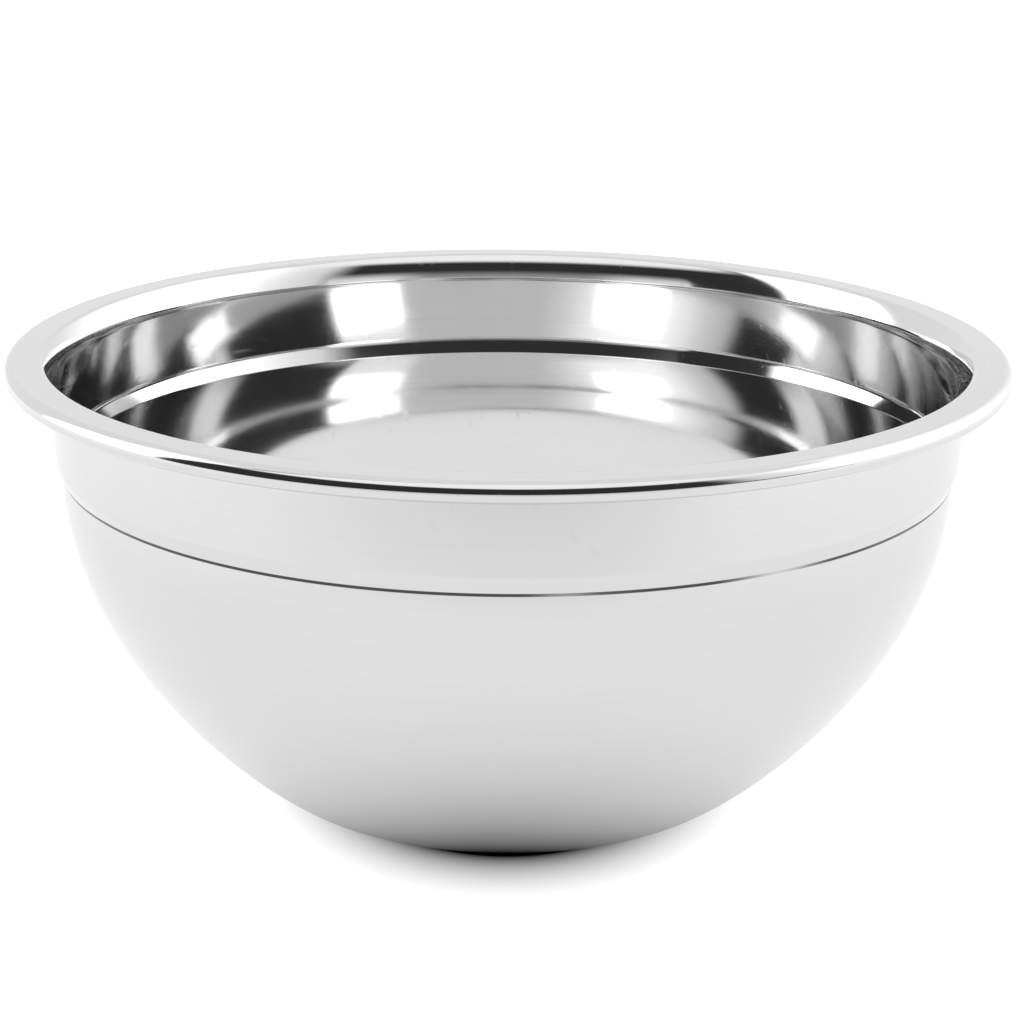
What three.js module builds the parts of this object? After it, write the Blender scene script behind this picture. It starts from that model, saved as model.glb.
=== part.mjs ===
// Mixing bowl, pressed from one disc of stainless steel sheet.
// Millimetres, +Z up. The origin is on the axis, at the underside of the flat base.
//
// The bowl is a single sheet that turns about Z: a flat base, a rounded body, a crease
// with a small step outwards, a shallow collar, and a flat rim whose edge is rolled under.

import * as THREE from 'three';

const { cos, sin, PI } = Math;
const degrees = THREE.MathUtils.degToRad;

// Overall sizes
const rimRadius = 140;
const height = 126;
const sheet = 0.7;

// Base and body, measured on the outer skin
const baseRadius = 63.5;
const baseCornerRadius = 12.5;
const bodyStartSlope = degrees(34);
const bodyTopRadius = 125.2;
const bodyTopHeight = 93.5;
const bodyPullLow = 19.8; // how far the body keeps its slope above the base corner
const bodyPullHigh = 44.3; // how far it stays upright below the crease

// Step and collar, measured on the outer skin
const creaseAngle = degrees(21.5);
const creaseRadius = 0.6;
const ledgeLength = 3.5; // the straight slant from the crease up to the shoulder
const shoulderRadius = 6;
const collarTaper = degrees(1.2);

// Rim, measured on the outer skin except for the roll
const rimFlareAngle = degrees(34); // the gentle part of the bend from collar to rim
const rimFlareRadius = 13;
const rimFilletRadius = 1.25; // the tight part of that bend, up to the flat
const curlRadius = 2.85; // outside radius of the rolled edge
const curlTurn = degrees(240); // stops short of the rim, so the roll stays open

// Facets
const segments = 56;
const bodySteps = 10;
const cornerSteps = 3;
const creaseSteps = 2;
const shoulderSteps = 3;
const flareSteps = 4;
const filletSteps = 3;
const curlSteps = 8;

// Walks along the sheet's outer skin in the (radius, height) plane, from the axis to the
// cut edge. At each station it notes the point on the outer skin and the point one sheet
// thickness to the left, which is on the inner skin.
class SheetPath {
  constructor() {
    this.radius = 0;
    this.height = 0;
    this.heading = 0;
    this.outer = [];
    this.inner = [];
    this.note();
  }

  note() {
    this.outer.push(new THREE.Vector2(this.radius, this.height));
    this.inner.push(new THREE.Vector2(
      this.radius - sheet * sin(this.heading),
      this.height + sheet * cos(this.heading),
    ));
  }

  straight(length) {
    this.radius += length * cos(this.heading);
    this.height += length * sin(this.heading);
    this.note();
  }

  // A positive angle turns left, towards the inside of the bowl.
  bend(bendRadius, angle, steps) {
    const side = Math.sign(angle) * bendRadius;
    const centreRadius = this.radius - side * sin(this.heading);
    const centreHeight = this.height + side * cos(this.heading);
    for (let step = 0; step < steps; step += 1) {
      this.heading += angle / steps;
      this.radius = centreRadius + side * sin(this.heading);
      this.height = centreHeight - side * cos(this.heading);
      this.note();
    }
  }

  // A smooth curve to an end point and heading. The pulls say how long each end keeps
  // its own direction.
  curveTo(end, endHeading, pullStart, pullEnd, steps) {
    const curve = new THREE.CubicBezierCurve(
      new THREE.Vector2(this.radius, this.height),
      new THREE.Vector2(
        this.radius + pullStart * cos(this.heading),
        this.height + pullStart * sin(this.heading),
      ),
      new THREE.Vector2(end.x - pullEnd * cos(endHeading), end.y - pullEnd * sin(endHeading)),
      end,
    );
    for (let step = 1; step <= steps; step += 1) {
      const point = curve.getPoint(step / steps);
      this.radius = point.x;
      this.height = point.y;
      this.heading = curve.getTangent(step / steps).angle();
      this.note();
    }
  }
}

function bowlProfile() {
  const upright = PI / 2;
  const path = new SheetPath();

  path.straight(baseRadius);
  path.bend(baseCornerRadius, bodyStartSlope, cornerSteps);
  const bodyTop = new THREE.Vector2(bodyTopRadius, bodyTopHeight);
  path.curveTo(bodyTop, upright, bodyPullLow, bodyPullHigh, bodySteps);

  path.bend(creaseRadius, -creaseAngle, creaseSteps);
  path.straight(ledgeLength);
  path.bend(shoulderRadius, creaseAngle - collarTaper, shoulderSteps);

  const filletAngle = upright - collarTaper - rimFlareAngle;
  const flareRise = rimFlareRadius * (sin(collarTaper + rimFlareAngle) - sin(collarTaper));
  const filletRise = rimFilletRadius * (1 - cos(filletAngle));
  const collarRise = height - sheet - filletRise - flareRise - path.height;
  path.straight(collarRise / cos(collarTaper));
  path.bend(rimFlareRadius, -rimFlareAngle, flareSteps);
  path.bend(rimFilletRadius, -filletAngle, filletSteps);

  path.straight(rimRadius - curlRadius - path.radius);
  path.bend(curlRadius - sheet, -curlTurn, curlSteps);

  return [...path.outer, ...path.inner.reverse()];
}

function bowlShell() {
  const geometry = new THREE.LatheGeometry(bowlProfile(), segments);
  geometry.rotateX(PI / 2);
  const polishedSteel = new THREE.MeshStandardMaterial({
    color: 0xd4d5d6,
    metalness: 1,
    roughness: 0.1,
  });
  const mesh = new THREE.Mesh(geometry, polishedSteel);
  mesh.name = 'bowl_shell';
  return mesh;
}

const bowl = new THREE.Group();
bowl.name = 'mixing_bowl';
bowl.add(bowlShell());

export default bowl;
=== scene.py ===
"""Mixing bowl: the looks of the pressed stainless steel shell, and a plain white studio.

Metres, +Z up. The origin is on the bowl's axis, at the underside of its flat base.
The visual shell follows the same sheet profile as the CAD shell, with finer facets and
exact normals, because a polished bowl shows every facet of what reflects in it.
"""

from dataclasses import dataclass
from math import atan2, cos, pi, radians, sin

import bpy
from mathutils import Matrix, Vector


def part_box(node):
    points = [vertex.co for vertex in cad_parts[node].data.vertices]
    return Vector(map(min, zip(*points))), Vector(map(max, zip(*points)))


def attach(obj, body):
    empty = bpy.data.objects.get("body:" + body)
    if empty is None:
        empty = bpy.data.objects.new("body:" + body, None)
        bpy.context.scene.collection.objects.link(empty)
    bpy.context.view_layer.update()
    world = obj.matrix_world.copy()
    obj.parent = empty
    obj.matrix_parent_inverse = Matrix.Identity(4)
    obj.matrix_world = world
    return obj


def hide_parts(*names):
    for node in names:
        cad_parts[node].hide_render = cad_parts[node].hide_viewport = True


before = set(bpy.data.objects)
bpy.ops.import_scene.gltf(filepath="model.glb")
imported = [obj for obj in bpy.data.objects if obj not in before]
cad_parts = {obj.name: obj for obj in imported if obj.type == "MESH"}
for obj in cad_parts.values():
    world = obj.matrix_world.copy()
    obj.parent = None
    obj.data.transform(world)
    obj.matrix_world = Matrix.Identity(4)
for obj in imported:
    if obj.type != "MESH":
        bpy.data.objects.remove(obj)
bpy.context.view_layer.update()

MM = 0.001

# Overall sizes: the high corner of the shell's box in the frame
RIM_RADIUS, _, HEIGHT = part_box("bowl_shell")[1]

# The sheet, as in the CAD part. Radii and heights are on the outer skin.
SHEET = 0.7 * MM
BASE_RADIUS = 63.5 * MM
BASE_CORNER_RADIUS = 12.5 * MM
BODY_START_SLOPE = radians(34)
BODY_TOP_RADIUS = 125.2 * MM
BODY_TOP_HEIGHT = 93.5 * MM
BODY_PULL_LOW = 19.8 * MM
BODY_PULL_HIGH = 44.3 * MM
CREASE_ANGLE = radians(21.5)
CREASE_RADIUS = 0.6 * MM
LEDGE_LENGTH = 3.5 * MM
SHOULDER_RADIUS = 6 * MM
COLLAR_TAPER = radians(1.2)
RIM_FLARE_ANGLE = radians(34)
RIM_FLARE_RADIUS = 13 * MM
RIM_FILLET_RADIUS = 1.25 * MM
CURL_RADIUS = 2.85 * MM
CURL_TURN = radians(240)

# Facets of the visual shell
SEGMENTS = 384
BASE_STEPS = 4
CORNER_STEPS = 8
BODY_STEPS = 34
CREASE_STEPS = 5
LEDGE_STEPS = 2
SHOULDER_STEPS = 8
COLLAR_STEPS = 3
FLARE_STEPS = 10
FILLET_STEPS = 8
FLAT_STEPS = 2
CURL_STEPS = 16

WHITE = (1.0, 1.0, 1.0, 1.0)

# Camera
CAMERA_DISTANCE = 0.700  # from the bowl's axis
CAMERA_ABOVE_RIM = 0.1645
CAMERA_ASIDE = 0.0013
CAMERA_PITCH = radians(17.0)
CAMERA_ROLL = radians(0.43)
CAMERA_LENS = 89.6
SENSOR_WIDTH = 36.0


# ---------------------------------------------------------------- the sheet's shape


class SheetPath:
    """Walks along the sheet's outer skin in the (radius, height) plane, from the axis to
    the cut edge. Each station is the point and the heading of the sheet there."""

    def __init__(self):
        self.radius = 0.0
        self.height = 0.0
        self.heading = 0.0
        self.stations = []
        self.note()

    def note(self):
        self.stations.append((self.radius, self.height, self.heading))

    def straight(self, length, steps):
        start_radius, start_height = self.radius, self.height
        for step in range(1, steps + 1):
            self.radius = start_radius + length * step / steps * cos(self.heading)
            self.height = start_height + length * step / steps * sin(self.heading)
            self.note()

    def bend(self, bend_radius, angle, steps):
        """A positive angle turns left, towards the inside of the bowl."""
        side = bend_radius if angle > 0 else -bend_radius
        centre_radius = self.radius - side * sin(self.heading)
        centre_height = self.height + side * cos(self.heading)
        for _ in range(steps):
            self.heading += angle / steps
            self.radius = centre_radius + side * sin(self.heading)
            self.height = centre_height - side * cos(self.heading)
            self.note()

    def curve_to(self, end, end_heading, pull_start, pull_end, steps):
        start = Vector((self.radius, self.height))
        leave = start + pull_start * Vector((cos(self.heading), sin(self.heading)))
        arrive = end - pull_end * Vector((cos(end_heading), sin(end_heading)))
        for step in range(1, steps + 1):
            t = step / steps
            u = 1 - t
            point = u**3 * start + 3 * u * u * t * leave + 3 * u * t * t * arrive + t**3 * end
            along = u * u * (leave - start) + 2 * u * t * (arrive - leave) + t * t * (end - arrive)
            self.radius, self.height = point
            self.heading = atan2(along[1], along[0])
            self.note()


def sheet_stations():
    path = SheetPath()
    path.straight(BASE_RADIUS, BASE_STEPS)
    path.bend(BASE_CORNER_RADIUS, BODY_START_SLOPE, CORNER_STEPS)
    body_top = Vector((BODY_TOP_RADIUS, BODY_TOP_HEIGHT))
    path.curve_to(body_top, pi / 2, BODY_PULL_LOW, BODY_PULL_HIGH, BODY_STEPS)
    path.bend(CREASE_RADIUS, -CREASE_ANGLE, CREASE_STEPS)
    path.straight(LEDGE_LENGTH, LEDGE_STEPS)
    path.bend(SHOULDER_RADIUS, CREASE_ANGLE - COLLAR_TAPER, SHOULDER_STEPS)
    fillet_angle = pi / 2 - COLLAR_TAPER - RIM_FLARE_ANGLE
    flare_rise = RIM_FLARE_RADIUS * (sin(COLLAR_TAPER + RIM_FLARE_ANGLE) - sin(COLLAR_TAPER))
    fillet_rise = RIM_FILLET_RADIUS * (1 - cos(fillet_angle))
    collar_rise = HEIGHT - SHEET - fillet_rise - flare_rise - path.height
    path.straight(collar_rise / cos(COLLAR_TAPER), COLLAR_STEPS)
    path.bend(RIM_FLARE_RADIUS, -RIM_FLARE_ANGLE, FLARE_STEPS)
    path.bend(RIM_FILLET_RADIUS, -fillet_angle, FILLET_STEPS)
    path.straight(RIM_RADIUS - CURL_RADIUS - path.radius, FLAT_STEPS)
    path.bend(CURL_RADIUS - SHEET, -CURL_TURN, CURL_STEPS)
    return path.stations


def skin_rings():
    """The closed outline as (radius, height, normal out of the metal), from the middle of
    the underside, round the cut edge, to the middle of the inside."""
    stations = sheet_stations()
    outside = [(r, z, (sin(h), -cos(h))) for r, z, h in stations]
    inside = [(r - SHEET * sin(h), z + SHEET * cos(h), (-sin(h), cos(h))) for r, z, h in stations]
    return outside, inside[::-1]


ON_AXIS = 1e-9


def turned_shell(name, outside_material, inside_material):
    """The outline turned about Z as one closed mesh, with the sheet's own normals."""
    outside, inside = skin_rings()
    rings = outside + inside
    turns = [2 * pi * s / SEGMENTS for s in range(SEGMENTS)]
    spokes = [(cos(a), sin(a)) for a in turns]

    points, firsts = [], []
    for radius, height, _ in rings:
        firsts.append(len(points))
        around = spokes if radius > ON_AXIS else [(0.0, 0.0)]
        points += [(radius * x, radius * y, height) for x, y in around]

    faces, normals, materials = [], [], []
    cut_edge = len(outside) - 1
    for ring in range(len(rings) - 1):
        low, high = rings[ring], rings[ring + 1]
        if ring == cut_edge:  # the sheet's square cut edge, flat across its thickness
            across = Vector((low[1] - high[1], high[0] - low[0])).normalized()
            low_normal = high_normal = (-across[0], -across[1])
        else:
            low_normal, high_normal = low[2], high[2]
        for s in range(SEGMENTS):
            t = (s + 1) % SEGMENTS
            if ring == 0:
                corners = [(firsts[ring], s, low_normal)]
            else:
                corners = [(firsts[ring] + s, s, low_normal), (firsts[ring] + t, t, low_normal)]
            if ring == len(rings) - 2:
                corners.append((firsts[ring + 1], s, high_normal))
            else:
                corners.append((firsts[ring + 1] + t, t, high_normal))
                corners.append((firsts[ring + 1] + s, s, high_normal))
            faces.append([point for point, _, _ in corners])
            for _, spoke, (out, up) in corners:
                x, y = spokes[spoke]
                normals.append((out * x, out * y, up))
            materials.append(0 if ring <= cut_edge else 1)

    mesh = bpy.data.meshes.new(name)
    mesh.from_pydata(points, [], faces)
    mesh.polygons.foreach_set("use_smooth", [True] * len(faces))
    mesh.polygons.foreach_set("material_index", materials)
    mesh.materials.append(outside_material)
    mesh.materials.append(inside_material)
    mesh.update()
    mesh.normals_split_custom_set(normals)
    shell = bpy.data.objects.new(name, mesh)
    bpy.context.scene.collection.objects.link(shell)
    return shell


# ---------------------------------------------------------------- nodes


class Nodes:
    """A node tree with short calls. A value given to a socket is set, a socket is linked."""

    def __init__(self, tree):
        self.tree = tree
        tree.nodes.clear()

    def add(self, kind, inputs=(), **settings):
        node = self.tree.nodes.new(kind)
        for key, value in settings.items():
            setattr(node, key, value)
        for key, value in dict(inputs).items():
            self.give(node.inputs[key], value)
        return node

    def give(self, socket, value):
        if isinstance(value, bpy.types.NodeSocket):
            self.tree.links.new(value, socket)
        else:
            socket.default_value = value

    def math(self, operation, *values):
        node = self.add("ShaderNodeMath", operation=operation)
        for socket, value in zip(node.inputs, values):
            self.give(socket, value)
        return node.outputs[0]

    def between(self, value, low, high, to_low=0.0, to_high=1.0):
        """Goes smoothly from to_low to to_high as value goes from low to high."""
        inputs = {
            "Value": value,
            "From Min": low,
            "From Max": high,
            "To Min": to_low,
            "To Max": to_high,
        }
        return self.add("ShaderNodeMapRange", inputs, interpolation_type="SMOOTHSTEP").outputs[0]

    def blend(self, value, other, amount):
        """value where amount is 0, other where it is 1."""
        kept = self.math("MULTIPLY", value, self.math("SUBTRACT", 1.0, amount))
        return self.math("ADD", kept, self.math("MULTIPLY", amount, other))

    def length(self, vector):
        return self.add("ShaderNodeVectorMath", {0: vector}, operation="LENGTH").outputs["Value"]

    def stretch(self, vector, factors):
        inputs = {0: vector, 1: factors}
        return self.add("ShaderNodeVectorMath", inputs, operation="MULTIPLY").outputs[0]

    def axes(self, vector):
        return self.add("ShaderNodeSeparateXYZ", {"Vector": vector}).outputs

    def vector(self, x, y, z=0.0):
        return self.add("ShaderNodeCombineXYZ", {"X": x, "Y": y, "Z": z}).outputs[0]

    def place(self):
        return self.add("ShaderNodeTexCoord").outputs["Object"]

    def light_path(self):
        return self.add("ShaderNodeLightPath").outputs

    def bump(self, height, depth, under=None):
        """Raises the surface by up to depth metres, on top of the bump under it."""
        inputs = {"Strength": 1.0, "Distance": depth, "Height": height}
        if under is not None:
            inputs["Normal"] = under
        return self.add("ShaderNodeBump", inputs).outputs[0]

    def surface(self, shader, output="ShaderNodeOutputMaterial"):
        self.add(output, {"Surface": shader.outputs[0]})

    def noise(self, vector, scale, detail, along=None):
        """3-D noise, or 4-D noise where along gives the fourth coordinate."""
        inputs = {"Vector": vector, "Scale": scale, "Detail": detail}
        if along is None:
            return self.add("ShaderNodeTexNoise", inputs).outputs["Fac"]
        inputs["W"] = along
        return self.add("ShaderNodeTexNoise", inputs, noise_dimensions="4D").outputs["Fac"]


# ---------------------------------------------------------------- stainless steel


STEEL_REFLECTANCE = 0.70
OUTSIDE_ROUGHNESS = 0.10
INSIDE_ROUGHNESS = 0.07

# Noise cells in a metre
BUFFING_ACROSS = 1400.0
WAVE_CELLS = 22.0
HAZE_CELLS = 14.0
CREASE_SHADE_CELLS = 9.0
HAIRLINE_CELLS = (900.0, 40.0, 260.0)

BUFFING_ROUND = 1.6  # noise cells in a radian round the axis
HAIRLINE_AXIS = (0.3, 0.2, 1.0)
HAIRLINE_TURN = 0.9

# Heights of the marks, metres
WAVE_DEPTH = 12e-6
BUFFING_DEPTH = 0.7e-6
HAIRLINE_DEPTH = 1.5e-6

# The band of painted shade in the outside crease, which darkens the colour and makes the steel a
# little rougher
CREASE_SHADE_LOW = BODY_TOP_HEIGHT - 0.05 * MM
CREASE_SHADE_HIGH = BODY_TOP_HEIGHT + 1.05 * MM
CREASE_SHADE_EDGE = 0.2 * MM
CREASE_SHADE_STRENGTH = 0.9  # how much light it takes where it is thickest


def buffing_lines(nodes, place):
    """Fine lines, long round the axis and close together across it."""
    axes = nodes.axes(place)
    flat_place = nodes.vector(axes["X"], axes["Y"])
    inputs = {0: flat_place}
    spoke = nodes.add("ShaderNodeVectorMath", inputs, operation="NORMALIZE").outputs[0]
    spoke_axes = nodes.axes(spoke)
    line_place = nodes.vector(
        nodes.math("MULTIPLY", spoke_axes["X"], BUFFING_ROUND),
        nodes.math("MULTIPLY", spoke_axes["Y"], BUFFING_ROUND),
        nodes.math("MULTIPLY", axes["Z"], BUFFING_ACROSS),
    )
    line_across = nodes.math("MULTIPLY", nodes.length(flat_place), BUFFING_ACROSS)
    return nodes.noise(line_place, 1.0, 3.0, line_across)


def hairlines(nodes, place):
    """Thin crests of a noise that is stretched along one slanted direction."""
    inputs = {"Vector": place, "Axis": HAIRLINE_AXIS, "Angle": HAIRLINE_TURN}
    turned = nodes.add("ShaderNodeVectorRotate", inputs).outputs[0]
    return nodes.between(nodes.noise(nodes.stretch(turned, HAIRLINE_CELLS), 1.0, 0.0), 0.74, 0.80)


def crease_painted_shade(nodes, place):
    """The line of painted shade in the outside crease. It comes and goes round the bowl."""
    height = nodes.axes(place)["Z"]
    line = nodes.math(
        "MULTIPLY",
        nodes.between(height, CREASE_SHADE_LOW, CREASE_SHADE_LOW + CREASE_SHADE_EDGE),
        nodes.between(height, CREASE_SHADE_HIGH - CREASE_SHADE_EDGE, CREASE_SHADE_HIGH, 1.0, 0.0),
    )
    shade_breakup = nodes.noise(place, CREASE_SHADE_CELLS, 3.0, 1.0)
    strength = nodes.between(shade_breakup, 0.40, 0.48, CREASE_SHADE_STRENGTH * 0.1, CREASE_SHADE_STRENGTH)
    return nodes.math("MULTIPLY", line, strength)


def polished_steel(name, roughness, has_crease_shade=False):
    """Bright annealed and buffed stainless steel. Its marks run round the axis, as the
    buffing wheel does, with a little haze, the odd hairline, and a broad slow waviness.
    In the outside crease, a thin line of painted shade darkens the colour, and the steel is a
    little rougher there."""
    material = bpy.data.materials.new(name)
    material.use_nodes = True
    nodes = Nodes(material.node_tree)
    place = nodes.place()
    lines = buffing_lines(nodes, place)
    hairline = hairlines(nodes, place)
    waves = nodes.noise(place, WAVE_CELLS, 1.0)
    haze = nodes.noise(place, HAZE_CELLS, 4.0)

    rough = nodes.between(haze, 0.35, 0.75, roughness * 0.8, roughness * 1.35)
    rough = nodes.math("ADD", rough, nodes.math("MULTIPLY", hairline, 0.06))
    rough = nodes.math("ADD", rough, nodes.between(lines, 0.3, 0.8, 0.0, 0.02))

    shade = nodes.math(
        "ADD",
        nodes.between(haze, 0.3, 0.8, STEEL_REFLECTANCE + 0.005, STEEL_REFLECTANCE - 0.01),
        nodes.between(lines, 0.3, 0.7, -0.006, 0.006),
    )
    # Painted shade: the crease line darkens the colour, and it also adds roughness
    if has_crease_shade:
        painted_crease_shade = crease_painted_shade(nodes, place)
        shade = nodes.math("MULTIPLY", shade, nodes.math("SUBTRACT", 1.0, painted_crease_shade))
        rough = nodes.math("ADD", rough, nodes.math("MULTIPLY", painted_crease_shade, 0.2))

    inputs = {"Red": shade, "Green": shade, "Blue": shade}
    colour = nodes.add("ShaderNodeCombineColor", inputs).outputs[0]
    bump = nodes.bump(waves, WAVE_DEPTH)
    bump = nodes.bump(lines, BUFFING_DEPTH, bump)
    bump = nodes.bump(hairline, HAIRLINE_DEPTH, bump)
    inputs = {"Base Color": colour, "Metallic": 1.0, "Roughness": rough, "Normal": bump}
    nodes.surface(nodes.add("ShaderNodeBsdfPrincipled", inputs))
    return material


# ---------------------------------------------------------------- studio


@dataclass
class Card:
    """A lit or dark panel of the studio, seen from the bowl. Azimuth 0 is behind the bowl,
    +90 to its right. Each edge has a softness, in degrees either side of the edge."""

    level: float
    left: float
    right: float
    soft_left: float
    soft_right: float
    bottom: float = -90
    top: float = 90
    soft_top: float = 1
    soft_bottom: float = 1
    later: bool = False  # shows only in second and later reflections


# Radiance beside a white floor of 1. A later card stands in front of the earlier ones.
ROOM_LEVEL = 0.035
CARDS = [
    # the wall behind
    Card(0.96, -99, 129, 2, 7),
    # its glow towards the right softbox
    Card(1.85, 38, 106, 24, 18, top=50, soft_top=5),
    # above the left softbox
    Card(1.55, -100, -60, 2, 5, top=52, soft_top=4),
    # left softbox
    Card(3.50, -98, -60, 1, 1, top=32.5, soft_top=2),
    # right softbox
    Card(3.50, 49, 87, 2, 4, top=33.5, soft_top=2),
    # the ceiling in front
    Card(1.20, 104, 256, 12, 8, bottom=44, soft_bottom=5),
    # beside the camera
    Card(1.30, 169, 191, 4, 4, bottom=8, soft_bottom=4, top=28, soft_top=6, later=True),
]
SEEN_WHITE = 1.0  # what the camera itself sees behind the floor


def card_mask(nodes, azimuth, elevation, later, card):
    centre = (card.left + card.right) / 2
    half = (card.right - card.left) / 2
    offset = nodes.math("WRAP", nodes.math("SUBTRACT", azimuth, centre), 180.0, -180.0)
    low, high = card.bottom, card.top
    factors = [
        nodes.between(offset, -half - card.soft_left, -half + card.soft_left),
        nodes.between(offset, half - card.soft_right, half + card.soft_right, 1.0, 0.0),
        nodes.between(elevation, low - card.soft_bottom, low + card.soft_bottom),
        nodes.between(elevation, high - card.soft_top, high + card.soft_top, 1.0, 0.0),
    ]
    if card.later:
        factors.append(later)
    mask = factors[0]
    for factor in factors[1:]:
        mask = nodes.math("MULTIPLY", mask, factor)
    return mask


def studio_world():
    """What the bowl mirrors. The camera itself sees plain white."""
    world = bpy.data.worlds.new("studio")
    bpy.context.scene.world = world
    world.use_nodes = True
    nodes = Nodes(world.node_tree)
    direction = nodes.add("ShaderNodeTexCoord").outputs["Generated"]
    axes = nodes.axes(direction)
    azimuth = nodes.math("DEGREES", nodes.math("ARCTAN2", axes["X"], axes["Y"]))
    elevation = nodes.math("DEGREES", nodes.math("ARCSINE", axes["Z"]))
    path = nodes.light_path()
    # The world counts one more than the reflections before it
    later = nodes.math("GREATER_THAN", path["Ray Depth"], 2.5)
    level = ROOM_LEVEL
    for card in CARDS:
        level = nodes.blend(level, card.level, card_mask(nodes, azimuth, elevation, later, card))
    level = nodes.blend(level, SEEN_WHITE, path["Is Camera Ray"])
    background = nodes.add("ShaderNodeBackground", {"Color": WHITE, "Strength": level})
    nodes.surface(background, "ShaderNodeOutputWorld")


FLOOR_HALF = 9.0
FLOOR_GAP = 0.1 * MM
FLOOR_WHITE = 1.05
FLOOR_SEEN = 1.48  # how much brighter the camera sees the floor, which it overexposes

# Painted light: the floor's glow rises from SIDE_NEAR out to SIDE_FAR, standing in for the side
# softboxes
SIDE_GLOW = 0.16
SIDE_NEAR = 120 * MM
SIDE_FAR = 700 * MM

# A painted shadow: under the bowl the floor's glow is black up to SHADE_RADIUS and lightens
# outwards with SHADE_LENGTH. It is painted narrower to the left and right, as if the side
# softboxes lit there.
SHADE_RADIUS = 68 * MM
SHADE_LENGTH = 24 * MM
SHADE_NARROWING = 1.36

# Painted shade: in front, the floor as the bowl mirrors it falls into the dark between these two
FRONT_DARK = -1.3
FRONT_LIT = -0.25


def glowing_nodes(mesh, name):
    """Gives the mesh a material of its own that glows but isn't sampled as a lamp, and
    returns its empty nodes."""
    material = bpy.data.materials.new(name)
    material.use_nodes = True
    material.cycles.emission_sampling = "NONE"
    mesh.materials.append(material)
    return Nodes(material.node_tree)


def white_floor():
    """A floor that glows, though it is no lamp, with a painted shadow under the bowl, painted side
    glow, and painted dark in front that only reflections see. It glows, so it has no noise and
    burns out to plain white.
    """
    mesh = bpy.data.meshes.new("floor")
    half = FLOOR_HALF
    corners = [(-half, -half), (half, -half), (half, half), (-half, half)]
    mesh.from_pydata([(x, y, -FLOOR_GAP) for x, y in corners], [], [(0, 1, 2, 3)])

    nodes = glowing_nodes(mesh, "floor_glow_painted_shadow")
    place = nodes.place()
    # Painted shadow under the bowl, narrower to the sides
    distance = nodes.length(nodes.stretch(place, (SHADE_NARROWING, 1.0, 0.0)))
    beyond = nodes.math("MAXIMUM", nodes.math("SUBTRACT", distance, SHADE_RADIUS), 0.0)
    darkness = nodes.math("EXPONENT", nodes.math("DIVIDE", beyond, -SHADE_LENGTH))
    shade = nodes.math("SUBTRACT", 1.0, darkness)

    axes = nodes.axes(place)
    # Painted dark in front, for reflections only
    front = nodes.between(axes["Y"], FRONT_DARK, FRONT_LIT)
    seen = nodes.math("MULTIPLY", nodes.light_path()["Is Camera Ray"], FLOOR_SEEN)
    # Painted side glow on the floor
    aside = nodes.math("ABSOLUTE", axes["X"])
    side = nodes.between(aside, SIDE_NEAR, SIDE_FAR, FLOOR_WHITE, FLOOR_WHITE + SIDE_GLOW)
    level = nodes.math("MULTIPLY", shade, nodes.math("MAXIMUM", front, seen))
    level = nodes.math("MULTIPLY", level, side)
    nodes.surface(nodes.add("ShaderNodeEmission", {"Color": WHITE, "Strength": level}))

    floor = bpy.data.objects.new("floor", mesh)
    bpy.context.scene.collection.objects.link(floor)


def reflected_panel(name, points, faces, place, pattern):
    """A panel of light that only the bowl's first reflection sees, and only from behind.
    The pattern gives how much of the panel is there, and how bright it is."""
    mesh = bpy.data.meshes.new(name)
    mesh.from_pydata(points, [], faces)

    nodes = glowing_nodes(mesh, name)
    there, level = pattern(nodes, nodes.place())
    first = nodes.math("COMPARE", nodes.light_path()["Ray Depth"], 1.0, 0.5)
    from_behind = nodes.add("ShaderNodeNewGeometry").outputs["Backfacing"]
    there = nodes.math("MULTIPLY", nodes.math("MULTIPLY", there, first), from_behind)
    glow = nodes.add("ShaderNodeEmission", {"Color": WHITE, "Strength": level})
    clear = nodes.add("ShaderNodeBsdfTransparent", {"Color": WHITE})
    inputs = {0: there, 1: clear.outputs[0], 2: glow.outputs[0]}
    nodes.surface(nodes.add("ShaderNodeMixShader", inputs))

    panel = bpy.data.objects.new(name, mesh)
    panel.location = place
    panel.visible_camera = False
    bpy.context.scene.collection.objects.link(panel)


FILL_LEVEL = 1.04
FILL_HEIGHT = 100 * MM
FILL_BEHIND = 45 * MM  # the panel's centre, behind the bowl's axis
FILL_RADIUS = 40 * MM
FILL_FADE = 2 * MM
FILL_SIDES = 64


def fill_pattern(nodes, place):
    low, high = FILL_RADIUS - FILL_FADE, FILL_RADIUS + FILL_FADE
    return nodes.between(nodes.length(place), low, high, 1.0, 0.0), FILL_LEVEL


def fill_panel():
    """A small disc in the bowl's mouth that lights the lower inside evenly. The studio
    alone would leave it half dark."""
    reach = FILL_RADIUS + FILL_FADE
    turns = [2 * pi * s / FILL_SIDES for s in range(FILL_SIDES)]
    points = [(reach * cos(a), reach * sin(a), 0.0) for a in turns]
    place = (0.0, FILL_BEHIND, FILL_HEIGHT)
    reflected_panel("fill_panel", points, [list(range(FILL_SIDES))], place, fill_pattern)


HAZE_RADIUS = 120 * MM
HAZE_HEIGHT = 95 * MM
HAZE_LIFT = 1 * MM
HAZE_CENTRE = 0.36
HAZE_SIDES = 1.0
HAZE_START = pi * 1.08
HAZE_TURN = pi * 0.84
HAZE_STEPS = 48


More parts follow.
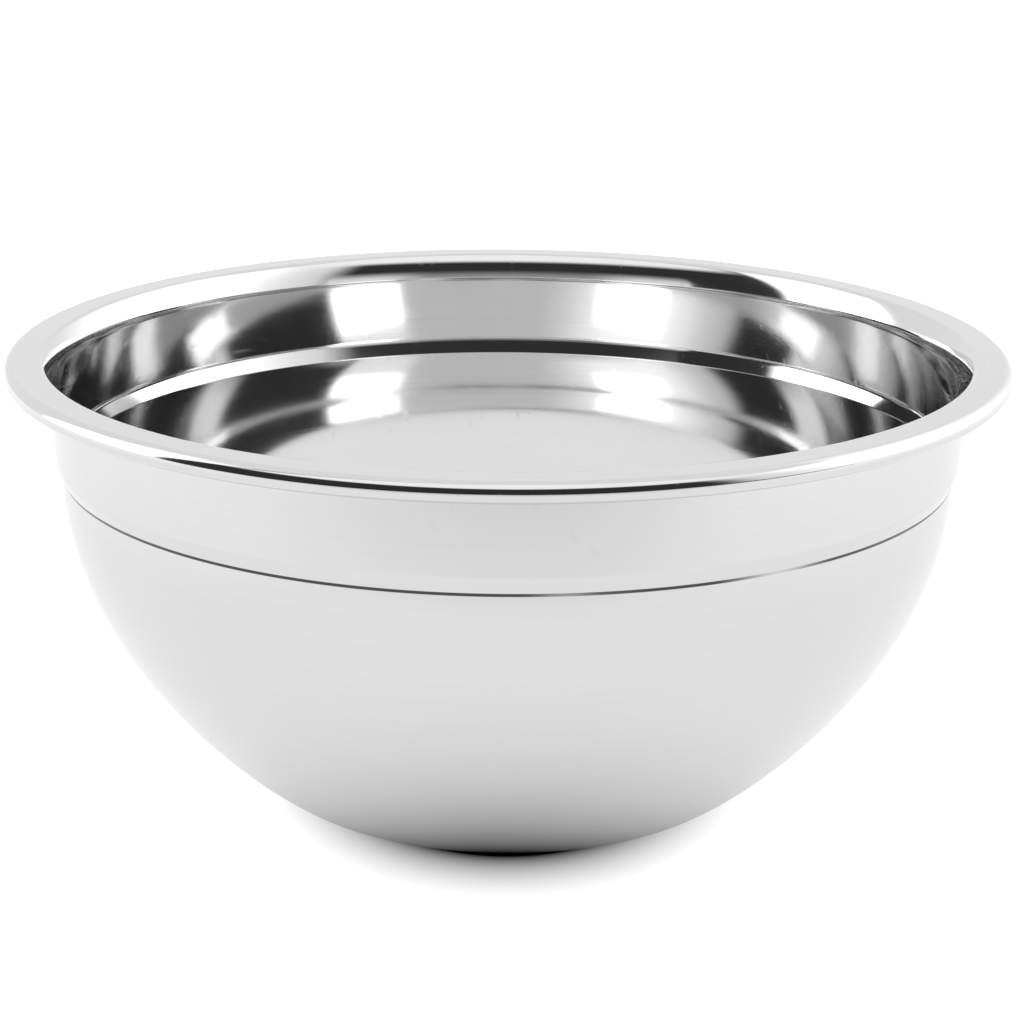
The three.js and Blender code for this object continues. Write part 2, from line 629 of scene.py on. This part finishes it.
def front_haze_pattern(nodes, place):
    axes = nodes.axes(place)
    there = nodes.between(axes["Z"], 0.0, HAZE_HEIGHT, 1.0, 0.0)
    aside = nodes.math("ABSOLUTE", axes["X"])
    near, far = 0.5 * HAZE_RADIUS, 0.85 * HAZE_RADIUS
    return there, nodes.between(aside, near, far, HAZE_CENTRE, HAZE_SIDES)


def front_haze():
    """A strip that stands on the near rim and fades upwards. It gives the far rim's bend
    its soft grey under the dark of the room."""
    points, faces = [], []
    for step in range(HAZE_STEPS + 1):
        turn = HAZE_START + HAZE_TURN * step / HAZE_STEPS
        for z in (0.0, HAZE_HEIGHT):
            points.append((HAZE_RADIUS * cos(turn), HAZE_RADIUS * sin(turn), z))
        if step:
            low = 2 * step
            faces.append((low - 2, low, low + 1, low - 1))
    place = (0.0, 0.0, HEIGHT + HAZE_LIFT)
    reflected_panel("front_haze", points, faces, place, front_haze_pattern)


def front_camera():
    data = bpy.data.cameras.new("camera")
    data.sensor_width = SENSOR_WIDTH
    data.lens = CAMERA_LENS
    camera = bpy.data.objects.new("camera", data)
    place = Vector((CAMERA_ASIDE, -CAMERA_DISTANCE, HEIGHT + CAMERA_ABOVE_RIM))
    tilt = Matrix.Rotation(pi / 2 - CAMERA_PITCH, 4, "X") @ Matrix.Rotation(CAMERA_ROLL, 4, "Z")
    camera.matrix_world = Matrix.Translation(place) @ tilt
    bpy.context.scene.collection.objects.link(camera)
    bpy.context.scene.camera = camera


def picture_settings():
    """Plain colours, and enough bounces for the deep reflections at the bowl's two ends."""
    scene = bpy.context.scene
    scene.view_settings.view_transform = "Standard"
    scene.cycles.max_bounces = 24
    scene.cycles.glossy_bounces = 20


# ---------------------------------------------------------------- the scene

front_camera()
picture_settings()
studio_world()
white_floor()
fill_panel()
front_haze()

shell = turned_shell(
    "steel_shell",
    # The outside gets the painted shade line in its crease
    polished_steel("steel_outside", OUTSIDE_ROUGHNESS, has_crease_shade=True),
    polished_steel("steel_inside", INSIDE_ROUGHNESS),
)
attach(shell, "root")
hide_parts("bowl_shell")
